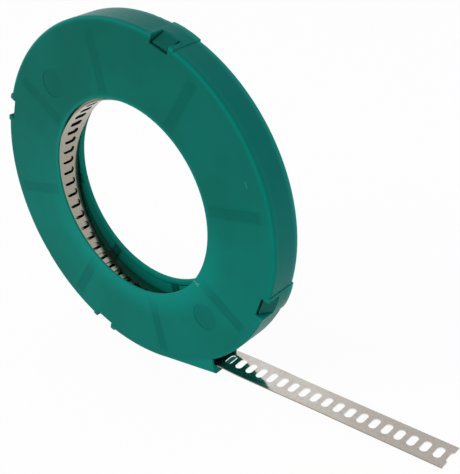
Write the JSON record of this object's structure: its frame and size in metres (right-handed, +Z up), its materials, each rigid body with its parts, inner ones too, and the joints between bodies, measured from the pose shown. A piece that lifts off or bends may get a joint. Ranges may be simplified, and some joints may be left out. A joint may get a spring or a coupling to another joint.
{
  "type": "perforated steel strap in a dispenser case",
  "caption": "Coil of slotted steel strap inside a ring-shaped snap-together plastic case; the strap's straight free end leaves through a nose at the foot.",
  "frame": {"origin": "centre of the hole through the case, on its axis and halfway across its width", "axes": "Y along the axis of the case with the lid towards -Y, X along the floor towards the strap's free end, Z up"},
  "size_m": [0.2883, 0.0204, 0.2],
  "materials": {
    "case_plastic": "satin moulded green plastic, slightly translucent",
    "strap_steel": "bright rolled stainless steel"
  },
  "bodies": {
    "root": {"case_back": "case_plastic", "case_front": "case_plastic", "perforated_strap": "strap_steel"}
  },
  "joints": []
}
